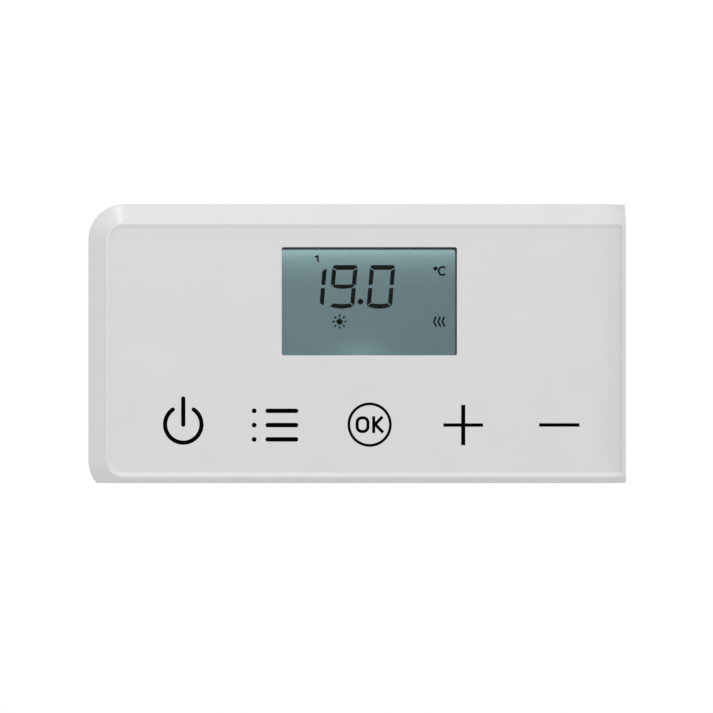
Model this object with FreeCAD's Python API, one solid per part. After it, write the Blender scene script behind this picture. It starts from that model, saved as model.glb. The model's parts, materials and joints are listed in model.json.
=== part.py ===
import FreeCAD, Part
import math
import os

from FreeCAD import Vector

# Wall thermostat. Millimetres. +X is to the right, +Y goes into the wall and +Z is up.
# The origin is the middle of the two box screws, on the wall's surface.

# --- outer form of the front unit
LEFT, RIGHT = -54.0, 54.0
TOP, BOTTOM = 28.0, -28.0
HIDDEN_LOW = -30.7        # the rounded outline runs down to here, and the flat underside cuts it
CORNER_R = 7.2
FRONT = -30.0             # crest of the lip that frames the face
BEVEL_IN, BEVEL_DEEP = 3.85, 3.4
LIP = 0.15
FRAME_IN = 0.85           # sloping step from the lip down to the face
FACE_DROP = 0.4
FOIL = 0.3
FRONT_WALL = 1.6
WALL = 2.0
REAR = -0.5
SEAM = -14.0              # where the front cover meets the rear housing
ROLL_X, ROLL_Y = 47.25, -17.0  # axis about which the face rolls away at the right
CAP_X = 53.1              # inner face of the end cap

FACE = FRONT + FACE_DROP
FOIL_BACK = FACE + FOIL
WALL_BACK = FOIL_BACK + FRONT_WALL
FACE_IN = BEVEL_IN + LIP + FRAME_IN

# --- cavity of the cover: a deep part, and a shallower one behind the face
DEEP_IN, DEEP_FRONT, DEEP_LOW = 2.0, -25.0, -26.0
SHALLOW_IN, SHALLOW_LOW = 3.8, -25.5

# --- display
WIN = (-15.1, 20.05, -2.37, 19.33)      # x from, x to, z from, z to
GASKET_WIN = (-15.3, 19.7, -2.5, 18.85)
GLASS = (-18.0, 23.0, -6.5, 22.5)
GLASS_T = 0.7
LENS_T = 0.8

# --- keys
KEY_X = {"power": -34.9, "menu": -16.5, "ok": 2.4, "plus": 21.3, "minus": 40.5}
KEY_Z = -16.4
KEY_W, KEY_H, KEY_GAP = 12.0, 9.6, 0.15
KEY_TRAVEL = 0.4
STEM_R = 1.7

# --- boards
CTRL_FRONT, CTRL_T = -23.2, 1.2
POWER_FRONT, POWER_T = -18.6, 1.6
CTRL_BACK, POWER_BACK = CTRL_FRONT + CTRL_T, POWER_FRONT + POWER_T
CTRL_SCREWS = [(-45.0, 3.0), (45.0, 3.0), (-25.9, -22.4), (30.8, -22.4)]
POWER_SCREWS = [(x, z) for x in (-44.0, 44.0) for z in (-12.0, 12.0)]
COVER_SCREWS = [(x, z) for x in (-48.6, 48.6) for z in (22.6, -23.4)]

# --- rear housing
HOUSING_BACK, HOUSING_WALL = -3.0, 2.0
CHAMBER_X, CHAMBER_TOP, CHAMBER_FRONT, CHAMBER_T = 20.0, 14.0, -15.5, 1.2
HINGE_Y, HINGE_Z, HINGE_X = -3.0, 25.0, (-32.0, 32.0)
BAR_R, HOOK_W, POCKET_W = 1.2, 8.0, 10.0

# --- wall plate
PLATE = (-51.0, 50.1, -25.0, 23.5)
PLATE_T, RIM_T, RIM_W = 2.0, 0.8, 1.2
BOX_SCREW_X, SLOT_R, SLOT_LEN = 30.0, 2.1, 8.0
CORNER_HOLE, CORNER_HOLE_R = (44.0, 18.0), 2.25
CABLE = (-18.0, 18.0, -6.0, 12.0)

# --- terminal block
POLE_PITCH, POLES = 7.5, 4
POLE_X = [POLE_PITCH * (i - (POLES - 1) / 2) for i in range(POLES)]
BLOCK = (-17.5, 17.5, -21.5, -6.5)
BLOCK_FRONT = -14.5
SCREW_Z = -10.0
BLADE_Z = (-20.0, -15.2)


# ---------------------------------------------------------------- small helpers
def box(x0, x1, y0, y1, z0, z1):
    """A block from its lowest to its highest corner, whichever way round each pair is given."""
    lo = Vector(min(x0, x1), min(y0, y1), min(z0, z1))
    hi = Vector(max(x0, x1), max(y0, y1), max(z0, z1))
    return Part.makeBox(hi.x - lo.x, hi.y - lo.y, hi.z - lo.z, lo)


def rod_y(x, z, r, y0, y1):
    return Part.makeCylinder(r, abs(y1 - y0), Vector(x, min(y0, y1), z), Vector(0, 1, 0))


def rod_x(y, z, r, x0, x1):
    return Part.makeCylinder(r, abs(x1 - x0), Vector(min(x0, x1), y, z), Vector(1, 0, 0))


def rod_z(x, y, r, z0, z1):
    return Part.makeCylinder(r, abs(z1 - z0), Vector(x, y, min(z0, z1)), Vector(0, 0, 1))


def round_box(x0, x1, y0, y1, z0, z1, r, along="y"):
    """A block whose four edges along one axis are rounded."""
    solid = box(x0, x1, y0, y1, z0, z1)
    way = {"x": Vector(1, 0, 0), "y": Vector(0, 1, 0), "z": Vector(0, 0, 1)}[along]
    edges = [e for e in solid.Edges if abs(e.tangentAt(0).dot(way)) > 0.99]
    return solid.makeFillet(r, edges)


def join(shapes):
    shapes = list(shapes)
    return shapes[0].multiFuse(shapes[1:]).removeSplitter() if len(shapes) > 1 else shapes[0]


def less(solid, cuts):
    cuts = list(cuts)
    return solid.cut(join(cuts) if len(cuts) > 1 else cuts[0])


def group(shapes):
    """Separate solids that share one node."""
    return Part.makeCompound(list(shapes))


def prism_x(points_yz, x0, x1):
    """A polygon in the YZ plane drawn out along X."""
    ring = [Vector(x0, y, z) for y, z in points_yz]
    return Part.Face(Part.makePolygon(ring + ring[:1])).extrude(Vector(x1 - x0, 0, 0))


# ---------------------------------------------------------------- outer form
def outline(y, inset, right):
    """The front outline at depth y, moved in by inset: round at the left, square at the right."""
    left, top, low = LEFT + inset, TOP - inset, HIDDEN_LOW + inset
    cx, top_c, low_c = LEFT + CORNER_R, TOP - CORNER_R, HIDDEN_LOW + CORNER_R
    s = (CORNER_R - inset) * math.sqrt(0.5)

    def at(x, z):
        return Vector(x, y, z)

    def arc(a, b, c):
        return Part.Arc(a, b, c).toShape()

    return Part.Wire([
        Part.LineSegment(at(right, top), at(cx, top)).toShape(),
        arc(at(cx, top), at(cx - s, top_c + s), at(left, top_c)),
        Part.LineSegment(at(left, top_c), at(left, low_c)).toShape(),
        arc(at(left, low_c), at(cx - s, low_c - s), at(cx, low)),
        Part.LineSegment(at(cx, low), at(right, low)).toShape(),
        Part.LineSegment(at(right, low), at(right, top)).toShape(),
    ])


def layer(y0, inset0, y1, inset1, right):
    """The outline drawn from one depth to the next."""
    if inset0 == inset1:
        return Part.Face(outline(y0, inset0, right)).extrude(Vector(0, y1 - y0, 0))
    return Part.makeLoft([outline(y0, inset0, right), outline(y1, inset1, right)], True, True)


def form(levels, right=RIGHT, low=BOTTOM, back=None):
    """A solid from (depth, inset) levels, front first. It is straight up to ROLL_X, and then it
    rolls away about the upright axis there. back carries the last level straight on."""
    solids = [layer(*a, *b, ROLL_X) for a, b in zip(levels, levels[1:])]
    upper = [Vector(ROLL_X, y, TOP - i) for y, i in levels]
    lower = [Vector(ROLL_X, y, HIDDEN_LOW + i) for y, i in reversed(levels)]
    section = Part.Face(Part.makePolygon(upper + lower + upper[:1]))
    solids.append(section.revolve(Vector(ROLL_X, ROLL_Y, 0), Vector(0, 0, 1), 90))
    if back is not None:
        y, inset = levels[-1]
        solids.append(layer(y, inset, back, inset, RIGHT))
    room = box(LEFT - 1, right, FRONT - 1, 1, low, TOP + 1)
    return join(solids).common(room)


def along_level(edge, depth):
    """Does the edge run along the outline at this depth? At the right, depth is the roll's radius."""
    points = edge.discretize(5)
    if max(abs(p.x - points[0].x) for p in points) < 1e-6 and points[0].x > 0:
        return False
    deep = [p.y if p.x <= ROLL_X else ROLL_Y - math.hypot(p.x - ROLL_X, p.y - ROLL_Y) for p in points]
    return all(abs(y - depth) < 1e-3 for y in deep)


def under_front(edge):
    """Does the edge run along the front of the flat underside?"""
    flat = all(abs(p.z - BOTTOM) < 1e-6 for p in edge.discretize(5))
    return flat and edge.CenterOfMass.y < FRONT + BEVEL_DEEP and edge.Length > 1.0


def outer_form():
    solid = form([(FRONT, BEVEL_IN), (FRONT + BEVEL_DEEP, 0), (ROLL_Y, 0)], back=SEAM)
    solid = solid.makeFillet(0.6, [e for e in solid.Edges if along_level(e, FRONT + BEVEL_DEEP)])
    solid = solid.makeFillet(0.3, [e for e in solid.Edges if along_level(e, FRONT)])
    return solid.makeFillet(0.4, [e for e in solid.Edges if under_front(e)])


def face_pocket():
    """The step that frames the face, and the seat of the foil."""
    return join([
        form([(FRONT - 0.5, BEVEL_IN + LIP - 0.7), (FACE, FACE_IN)], low=HIDDEN_LOW),
        form([(FACE, FACE_IN), (FOIL_BACK, FACE_IN)], low=HIDDEN_LOW),
    ])


def cavity(wall=0.0):
    """The inside of the front cover, smaller all round by wall."""
    deep = form([(DEEP_FRONT + wall, DEEP_IN + wall), (ROLL_Y, DEEP_IN + wall)],
                low=DEEP_LOW + wall, back=SEAM + 0.01)
    shallow = form([(WALL_BACK + wall, SHALLOW_IN + wall), (ROLL_Y, SHALLOW_IN + wall)],
                   low=SHALLOW_LOW + wall)
    return join([deep, shallow])


# ---------------------------------------------------------------- front unit: shells
def key_aperture(x):
    w, h = KEY_W / 2 + KEY_GAP, KEY_H / 2 + KEY_GAP
    return round_box(x - w, x + w, FOIL_BACK - 0.5, WALL_BACK + 0.5, KEY_Z - h, KEY_Z + h, 1.0)


def front_cover():
    shell = outer_form().common(box(LEFT - 1, CAP_X, FRONT - 1, 1, BOTTOM - 1, TOP + 1))
    shell = less(shell, [cavity(), face_pocket()])
    posts = [rod_y(x, z, 2.4, WALL_BACK - 0.3, -12.0) for x, z in COVER_SCREWS]
    posts += [rod_y(x, z, 2.0, WALL_BACK - 0.3, CTRL_FRONT) for x, z in CTRL_SCREWS]
    holes = [rod_y(x, z, 1.1, -22.0, -11.0) for x, z in COVER_SCREWS]
    holes += [rod_y(x, z, 0.8, -26.8, CTRL_FRONT + 1) for x, z in CTRL_SCREWS]
    x0, x1, z0, z1 = WIN
    window = round_box(x0, x1, FRONT, WALL_BACK + 0.5, z0, z1, 0.4)
    rebate = round_box(x0 - 1.2, x1 + 1.2, WALL_BACK - LENS_T - 0.05, WALL_BACK + 0.5,
                       z0 - 1.2, z1 + 1.2, 0.8)
    return less(join([shell] + posts), holes + [window, rebate] + [key_aperture(x) for x in KEY_X.values()])


def end_cap():
    """Closes the open right end: a plate with the section's own outline and a spigot."""
    plate = outer_form().common(box(CAP_X, RIGHT, FRONT - 1, SEAM, BOTTOM - 1, TOP + 1))
    reach = box(CAP_X - 1.8, CAP_X, FRONT, SEAM - 3.0, BOTTOM, TOP)
    spigot = cavity(0.05).cut(cavity(1.5)).common(reach)
    return join([plate, spigot])


def front_foil():
    sheet = form([(FACE, FACE_IN + 0.05), (FOIL_BACK, FACE_IN + 0.05)], right=CAP_X - 0.05)
    x0, x1, z0, z1 = WIN
    return sheet.cut(round_box(x0, x1, FACE - 1, FOIL_BACK + 1, z0, z1, 0.4))


def rear_shell():
    straight = layer(SEAM, 0, REAR, 0, RIGHT).common(box(LEFT, RIGHT, SEAM, REAR, BOTTOM, TOP))
    hollow = layer(SEAM, WALL, HOUSING_BACK - HOUSING_WALL, WALL, RIGHT - WALL)
    recess = layer(HOUSING_BACK, WALL, REAR + 0.1, WALL, RIGHT - WALL)
    room = box(LEFT, RIGHT, SEAM - 1, 1, BOTTOM + WALL, TOP)
    shell = less(straight, [hollow.common(room), recess.common(room)])
    edge = prism_x([(REAR + 1, TOP + 1), (REAR - 2.5, TOP + 1), (REAR + 1, TOP - 2.5)], LEFT, RIGHT)
    return join([less(shell, [edge, seam_groove()]), seam_tongue()])


def seam_groove():
    """A fine step round the housing's front edge. It shows as a line between the two mouldings."""
    core = layer(SEAM - 1, 0.3, SEAM + 1, 0.3, RIGHT - 0.3)
    core = core.common(box(LEFT, RIGHT, SEAM - 1, SEAM + 1, BOTTOM + 0.3, TOP))
    return box(LEFT - 1, RIGHT + 1, SEAM, SEAM + 0.3, BOTTOM - 1, TOP + 1).cut(core)


def seam_tongue():
    """A thin wall that reaches from the housing into the cover on three sides."""
    x = 45.0

    def ring(y0, y1, outside, inside):
        outer = layer(y0, outside, y1, outside, x).common(
            box(LEFT, RIGHT, FRONT, 0, BOTTOM + outside, TOP))
        inner = layer(y0, inside, y1, inside, x + 1).common(
            box(LEFT, RIGHT, FRONT, 0, BOTTOM + inside, TOP))
        return outer.cut(inner)

    root = ring(SEAM + 1.5, SEAM, WALL - 0.5, WALL + 1.1)
    lip = ring(SEAM, SEAM - 2.5, WALL + 0.1, WALL + 1.1)
    return less(join([root, lip]), [rod_y(x, z, 2.5, SEAM - 3, SEAM + 2) for x, z in COVER_SCREWS])


def hinge_pocket(x):
    """Walls round the place where a hook of the wall plate reaches in."""
    w = POCKET_W / 2
    return box(x - w - 1.2, x + w + 1.2, HOUSING_BACK - 0.5, -8.2, 17.8, TOP - WALL + 0.2)


def hinge_room(x):
    w = POCKET_W / 2
    return box(x - w, x + w, 0.0, -7.0, 19.0, TOP - WALL)


def wiring_chamber():
    """The block round the space for the mains wires, which chamber_room hollows out."""
    x, top = CHAMBER_X + CHAMBER_T, CHAMBER_TOP + CHAMBER_T
    return join([box(-x, x, HOUSING_BACK - 0.5, CHAMBER_FRONT - CHAMBER_T, BOTTOM + WALL + 0.1, top),
                 box(-x, x, HOUSING_BACK - 0.5, SEAM, BOTTOM + 1.0, 0.0)])


def chamber_room():
    return box(-CHAMBER_X, CHAMBER_X, 0.0, CHAMBER_FRONT, BOTTOM + WALL, CHAMBER_TOP)


def vent_slots():
    """Rows of narrow slots above and below, clear of the wiring chamber underneath."""
    above = [box(x - 0.8, x + 0.8, -12.5, -9.0, TOP - 3, TOP + 1) for x in
             [3.5 * i for i in range(-12, 13)]]
    below = [box(s * x - 0.8, s * x + 0.8, -12.5, -9.0, BOTTOM - 1, BOTTOM + 3)
             for s in (-1, 1) for x in [24.5 + 3.5 * i for i in range(6)]]
    return above + below


def rear_housing():
    shell = rear_shell()
    posts = [rod_y(x, z, 3.6, HOUSING_BACK - 1, -12.0) for x, z in COVER_SCREWS]
    posts = [p.common(layer(SEAM, 0.5, REAR, 0.5, RIGHT - 0.5)) for p in posts]
    posts += [rod_y(x, z, 2.6, HOUSING_BACK - 1, POWER_BACK) for x, z in POWER_SCREWS]
    solid = join([shell, wiring_chamber()] + posts + [hinge_pocket(x) for x in HINGE_X])
    cuts = [chamber_room()] + [hinge_room(x) for x in HINGE_X] + vent_slots()
    cuts += [rod_y(x, z, 3.0, 0.0, -10.0) for x, z in COVER_SCREWS]
    cuts += [rod_y(x, z, 1.3, 0.0, -13.0) for x, z in COVER_SCREWS]
    cuts += [rod_y(x, z, 1.1, -7.0, -18.0) for x, z in POWER_SCREWS]
    cuts += [box(x - 0.8, x + 0.8, CHAMBER_FRONT + 1, CHAMBER_FRONT - 3, -20.6, -14.6) for x in POLE_X]
    cuts += [box(-5, 5, -8.0, -6.0, BOTTOM - 1, BOTTOM + 3)]
    solid = less(solid, cuts)
    bars = [rod_x(HINGE_Y, HINGE_Z, BAR_R, x - POCKET_W / 2 - 0.6, x + POCKET_W / 2 + 0.6) for x in HINGE_X]
    catch = box(-6, 6, -5.5, -4.0, BOTTOM + WALL - 0.5, BOTTOM + WALL + 1.0)
    return join([solid, catch] + bars)


# ---------------------------------------------------------------- front unit: display
def frame_plate(outer, inner, y0, y1, r=0.4):
    x0, x1, z0, z1 = outer
    a0, a1, b0, b1 = inner
    return round_box(x0, x1, y0, y1, z0, z1, r).cut(round_box(a0, a1, y0 - 1, y1 + 1, b0, b1, r))


def display_window():
    x0, x1, z0, z1 = WIN
    return round_box(x0 - 1.1, x1 + 1.1, WALL_BACK - LENS_T, WALL_BACK, z0 - 1.1, z1 + 1.1, 0.7)


def display_gasket():
    x0, x1, z0, z1 = WIN
    outer = (x0 - 2.2, x1 + 2.2, z0 - 2.2, z1 + 2.2)
    return frame_plate(outer, GASKET_WIN, WALL_BACK, WALL_BACK + 0.5)


LCD_FRONT = WALL_BACK + 0.5
LCD_MID = LCD_FRONT + GLASS_T
LCD_BACK = LCD_MID + GLASS_T
GUIDE_TOP = 20.3


def lcd_front_glass():
    x0, x1, z0, z1 = GLASS
    return box(x0, x1, LCD_FRONT, LCD_MID, z0, z1)


def lcd_rear_glass():
    x0, x1, z0, z1 = GLASS
    return box(x0, x1, LCD_MID, LCD_BACK, z0 - 2.0, z1)


def light_guide():
    x0, x1, z0, z1 = GLASS
    plate = box(x0, x1, LCD_BACK + 0.2, CTRL_FRONT - 0.4, z0 + 0.2, GUIDE_TOP)
    edges = [e for e in plate.Edges if abs(e.tangentAt(0).x) > 0.99 and e.CenterOfMass.y < -24]
    return plate.makeChamfer(0.2, edges)


def reflector():
    x0, x1, z0, z1 = GLASS
    return box(x0, x1, CTRL_FRONT - 0.4, CTRL_FRONT - 0.2, z0 + 0.2, GUIDE_TOP)


def lcd_holder():
    x0, x1, z0, z1 = GLASS
    body = frame_plate((x0 - 1.8, x1 + 1.8, z0 - 3.4, z1 + 1.4), (x0 - 0.1, x1 + 0.1, z0 - 2.1, z1 + 0.1),
                       LCD_FRONT + 0.1, CTRL_FRONT, 0.3)
    cross = box(x0 - 0.5, x1 + 0.5, LCD_BACK + 0.2, CTRL_FRONT, z0 - 0.1, z0 + 0.1)
    return join([body, cross])


def zebra_strip():
    x0, x1, z0, z1 = GLASS
    return round_box(x0 + 1, x1 - 1, LCD_BACK, CTRL_FRONT, z0 - 1.9, z0 - 0.2, 0.2, "x")


def backlight_leds():
    lamps = []
    for x in (-10.0, 2.5, 15.0):
        body = box(x - 1.5, x + 1.5, CTRL_FRONT - 1.2, CTRL_FRONT, GUIDE_TOP + 0.1, GUIDE_TOP + 1.7)
        lamps.append(body.cut(box(x - 1.1, x + 1.1, CTRL_FRONT - 1.0, CTRL_FRONT - 0.3,
                                  GUIDE_TOP, GUIDE_TOP + 0.4)))
    return group(lamps)


# ---------------------------------------------------------------- front unit: boards
def control_board():
    board = round_box(-48.0, 48.0, CTRL_FRONT, CTRL_BACK, -24.0, 23.0, 1.0)
    holes = [rod_y(x, z, 1.1, CTRL_FRONT - 1, CTRL_BACK + 1) for x, z in CTRL_SCREWS]
    corners = [rod_y(x, z, 3.4, CTRL_FRONT - 1, CTRL_BACK + 1) for x, z in COVER_SCREWS]
    return less(board, holes + corners)


def power_board():
    board = box(-50.0, 50.0, POWER_FRONT, POWER_BACK, -24.0, 24.0)
    corners = [box(s * 44, s * 51, POWER_FRONT - 1, POWER_BACK + 1, t * 18, t * 25)
               for s in (-1, 1) for t in (-1, 1)]
    holes = [rod_y(x, z, 1.2, POWER_FRONT - 1, POWER_BACK + 1) for x, z in POWER_SCREWS]
    slits = [box(x - 0.5, x + 0.5, POWER_FRONT - 1, POWER_BACK + 1, BLADE_Z[0] + 1, BLADE_Z[1] - 1)
             for x in POLE_X]
    return less(board, corners + holes + slits)


def pan_screw(x, z, head_r, head_t, shank_r, seat, tip, slot):
    """A screw along Y. Its head sits at seat and its tip is at tip, on the other side."""
    way = 1 if tip > seat else -1
    head = rod_y(x, z, head_r, seat, seat - way * head_t)
    rim = [e for e in head.Edges if abs(e.CenterOfMass.y - (seat - way * head_t)) < 1e-6
           and e.Curve.TypeId == "Part::GeomCircle"]
    head = head.makeFillet(head_t * 0.3, rim)
    depth, top = head_t * 0.55, seat - way * head_t
    cross = [box(x - head_r * 0.62, x + head_r * 0.62, top - way, top + way * depth, z - slot, z + slot),
             box(x - slot, x + slot, top - way, top + way * depth, z - head_r * 0.62, z + head_r * 0.62)]
    return join([less(head, cross), rod_y(x, z, shank_r, seat, tip)])


def cover_screws():
    return group(pan_screw(x, z, 2.7, 1.9, 1.05, -10.0, -20.0, 0.35) for x, z in COVER_SCREWS)


def control_board_screws():
    return group(pan_screw(x, z, 1.9, 1.3, 0.75, CTRL_BACK, -26.4, 0.25) for x, z in CTRL_SCREWS)


def power_board_screws():
    return group(pan_screw(x, z, 2.2, 1.6, 1.0, POWER_FRONT, -12.0, 0.3) for x, z in POWER_SCREWS)


def relay():
    body = round_box(24.0, 40.0, POWER_BACK, -6.0, -6.0, 16.0, 0.8)
    return body.makeChamfer(0.5, [e for e in body.Edges if abs(e.CenterOfMass.y + 6.0) < 1e-6])


def supply_capacitor():
    body = round_box(-40.5, -22.5, POWER_BACK, -9.0, -9.0, 3.0, 0.8)
    return body.makeChamfer(0.4, [e for e in body.Edges if abs(e.CenterOfMass.y + 9.0) < 1e-6])


def smoothing_capacitor():
    can = rod_x(-12.0, 9.6, 5.0, -40.0, -24.0)
    groove = rod_x(-12.0, 9.6, 6.0, -38.6, -37.8).cut(rod_x(-12.0, 9.6, 4.6, -39.0, -37.0))
    return can.cut(groove)


def varistor():
    disc = rod_x(-12.4, -16.0, 4.4, -40.0, -36.6)
    legs = [rod_y(x, z, 0.35, POWER_BACK, -14.0) for x, z in ((-38.9, -18.5), (-37.7, -13.5))]
    return join([disc.makeFillet(1.2, [e for e in disc.Edges if e.Curve.TypeId == "Part::GeomCircle"])] + legs)


def fuse():
    can = rod_y(-28.0, -16.0, 4.2, POWER_BACK, -9.4)
    rim = [e for e in can.Edges if abs(e.CenterOfMass.y + 9.4) < 1e-6 and e.Curve.TypeId == "Part::GeomCircle"]
    return can.makeFillet(0.5, rim)


def supply_inductor():
    core = rod_y(33.0, -16.0, 5.2, POWER_BACK, -9.0)
    waist = rod_y(33.0, -16.0, 6.0, POWER_BACK + 1.4, -10.4).cut(rod_y(33.0, -16.0, 4.2, POWER_BACK, -9.0))
    return core.cut(waist)


def board_header():
    """Plastic strip and pins on the power board, which plug into the control board's socket."""
    strip = box(-12.0, 12.0, POWER_FRONT, -20.0, -23.2, -20.7)
    pins = [box(x - 0.3, x + 0.3, -20.5, -21.6, -22.25, -21.65) for x in [-10.16 + 2.54 * i for i in range(9)]]
    return join([strip] + [p.fuse(box(p.BoundBox.XMin, p.BoundBox.XMax, -19.5, -20.6, -22.25, -21.65))
                           for p in pins])


def board_socket():
    strip = box(-12.0, 12.0, -20.0, CTRL_BACK, -23.2, -20.7)
    wells = [box(x - 0.4, x + 0.4, -19.5, -21.8, -22.35, -21.55) for x in [-10.16 + 2.54 * i for i in range(9)]]
    return less(strip, wells)


def controller_chip():
    body = box(-5.0, 5.0, CTRL_BACK + 0.15, CTRL_BACK + 1.35, -5.0, 5.0)
    body = body.makeChamfer(0.25, body.Edges)
    legs = []
    for i in range(10):
        t = -3.6 + 0.8 * i
        for s in (-1, 1):
            legs.append(box(s * 4.8, s * 6.0, CTRL_BACK, CTRL_BACK + 0.3, t - 0.15, t + 0.15))
            legs.append(box(t - 0.15, t + 0.15, CTRL_BACK, CTRL_BACK + 0.3, s * 4.8, s * 6.0))
    return join([body] + legs)


def battery_holder():
    base = rod_y(30.0, 8.0, 9.0, CTRL_BACK, CTRL_BACK + 2.4)
    return base.cut(rod_y(30.0, 8.0, 8.05, CTRL_BACK + 0.5, CTRL_BACK + 3)).cut(
        box(27.0, 33.0, CTRL_BACK + 0.5, CTRL_BACK + 3, 14.0, 18.0))


def clock_battery():
    cell = rod_y(30.0, 8.0, 8.0, CTRL_BACK + 0.5, CTRL_BACK + 2.5)
    return cell.makeFillet(0.3, [e for e in cell.Edges if e.Curve.TypeId == "Part::GeomCircle"])


def room_sensor():
    """Thermistor bead on two legs, in the air that comes up through the lower slots."""
    bead = Part.makeSphere(1.1, Vector(-42.0, -20.0, -21.0))
    legs = [rod_y(x, -21.0, 0.25, CTRL_BACK, -20.0) for x in (-42.6, -41.4)]
    return join([bead] + legs)


def contact_blades():
    blades = []
    for x in POLE_X:
        blade = box(x - 0.4, x + 0.4, POWER_BACK, -9.5, *BLADE_Z)
        tip = [e for e in blade.Edges if abs(e.CenterOfMass.y + 9.5) < 1e-6 and abs(e.tangentAt(0).z) > 0.99]
        blade = blade.makeChamfer(0.2, tip)
        tail = box(x - 0.4, x + 0.4, POWER_FRONT - 0.4, POWER_BACK + 0.1, BLADE_Z[0] + 1.1, BLADE_Z[1] - 1.1)
        blades.append(join([blade, tail]))
    return group(blades)


# ---------------------------------------------------------------- keys
def switch_bodies():
    return group(box(x - 3, x + 3, CTRL_FRONT, CTRL_FRONT - 2.5, KEY_Z - 3, KEY_Z + 3).cut(
        rod_y(x, KEY_Z, STEM_R + 0.1, CTRL_FRONT - 0.9, CTRL_FRONT - 3)) for x in KEY_X.values())


def switch_covers():
    covers = []
    for x in KEY_X.values():
        plate = box(x - 3.0, x + 3.0, CTRL_FRONT - 2.5, CTRL_FRONT - 2.7, KEY_Z - 3.0, KEY_Z + 3.0)
        covers.append(plate.cut(rod_y(x, KEY_Z, STEM_R + 0.1, CTRL_FRONT, CTRL_FRONT - 4)))
    return group(covers)


FLANGE_Y = (WALL_BACK, WALL_BACK + 0.8)
BOSS_Y = WALL_BACK + 1.2


def key_pad(x):
    """A pad behind the foil, a flange that stops it and a boss that meets the switch."""
    w, h = KEY_W / 2, KEY_H / 2
    pad = round_box(x - w, x + w, FOIL_BACK + 0.05, FLANGE_Y[0] + 0.1, KEY_Z - h, KEY_Z + h, 0.85)
    flange = round_box(x - w - 0.7, x + w + 0.7, *FLANGE_Y, KEY_Z - h - 0.7, KEY_Z + h + 0.7, 1.2)
    return join([pad, flange, rod_y(x, KEY_Z, 1.75, FLANGE_Y[1] - 0.1, BOSS_Y)])


def switch_stem(x):
    """Stands on the switch, and leaves room below for the travel."""
    return rod_y(x, KEY_Z, STEM_R, BOSS_Y, CTRL_FRONT - 1.2 - KEY_TRAVEL)


# ---------------------------------------------------------------- wall plate
def hook(x):
    """An upturned crook that the front unit's bar drops into."""
    w = HOOK_W / 2
    ring = rod_x(HINGE_Y, HINGE_Z, 2.45, x - w, x + w).cut(rod_x(HINGE_Y, HINGE_Z, 1.25, x - w, x + w))
    ring = ring.common(box(x - w, x + w, HINGE_Y - 3, HINGE_Y + 3, HINGE_Z - 3, HINGE_Z))
    ring = ring.cut(box(x - w, x + w, HINGE_Y, HINGE_Y + 3, 23.6, HINGE_Z + 1))
    tip = box(x - w, x + w, HINGE_Y - 2.45, HINGE_Y - 1.25, HINGE_Z - 0.1, HINGE_Z + 0.3)
    web = box(x - w, x + w, HINGE_Y - 0.2, -1.0, 20.5, 22.7)
    return join([ring, tip, web])


def slot_hole(x, z):
    half = SLOT_LEN / 2 - SLOT_R
    return join([rod_y(x - half, z, SLOT_R, 1, -4), rod_y(x + half, z, SLOT_R, 1, -4),
                 box(x - half, x + half, 1, -4, z - SLOT_R, z + SLOT_R)])


def wall_plate():
    x0, x1, z0, z1 = PLATE
    plate = round_box(x0, x1, 0, -PLATE_T - RIM_T, z0, z1, 3.0)
    dish = round_box(x0 + RIM_W, x1 - RIM_W, -PLATE_T, -4, z0 + RIM_W, z1 - RIM_W, 1.8)
    plate = plate.cut(dish)
    c0, c1, d0, d1 = CABLE
    collar = round_box(c0 - 1.2, c1 + 1.2, -1, -PLATE_T - RIM_T, d0 + 0.6, d1 + 1.2, 3.5)
    pads = [rod_y(sx * CORNER_HOLE[0], sz * CORNER_HOLE[1], 4.4, -1, -PLATE_T - 0.6)
            for sx in (-1, 1) for sz in (-1, 1)]
    solid = join([plate, collar] + pads + [hook(x) for x in HINGE_X])
    cuts = [round_box(c0, c1, 1, -4, d0, d1, 3.0)]
    cuts += [slot_hole(s * BOX_SCREW_X, 0.0) for s in (-1, 1)]
    cuts += [rod_y(sx * CORNER_HOLE[0], sz * CORNER_HOLE[1], CORNER_HOLE_R, 1, -4)
             for sx in (-1, 1) for sz in (-1, 1)]
    cuts += [box(-4.6, 4.6, -PLATE_T, -4, z0 - 1, z0 + RIM_W + 0.1)]
    for s in (-1, 1):
        cuts += [rod_y(s * 16.0, -14.0, 1.1, 1, -4), rod_y(s * 16.0, -14.0, 2.0, 1, -1.1)]
    return less(solid, cuts)


def release_clip():
    """Leaf spring: a foot on the plate, an arm that reaches forward, and a barb behind the catch."""
    foot = box(-4, 4, -PLATE_T, -PLATE_T - 0.5, -24.5, -22.2)
    arm = box(-4, 4, -PLATE_T, -8.4, -24.5, -24.0)
    barb = prism_x([(-5.7, -24.4), (-5.7, -25.6), (-6.2, -25.6), (-8.2, -24.4)], -4, 4)
    return join([foot, arm, barb])


def clip_rivets():
    return group(rod_y(x, -23.0, 0.6, -PLATE_T - 0.5, -PLATE_T - 1.0) for x in (-2.2, 2.2))


# ---------------------------------------------------------------- terminal block
CAGE_X, CAGE_Z = 2.6, (-12.6, -7.6)
CAGE_Y, CAGE_T = (-9.6, -4.0), 0.8
STRIP_Y = (-8.7, -7.9)
FORK_Z = (-20.2, -15.0)


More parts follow.
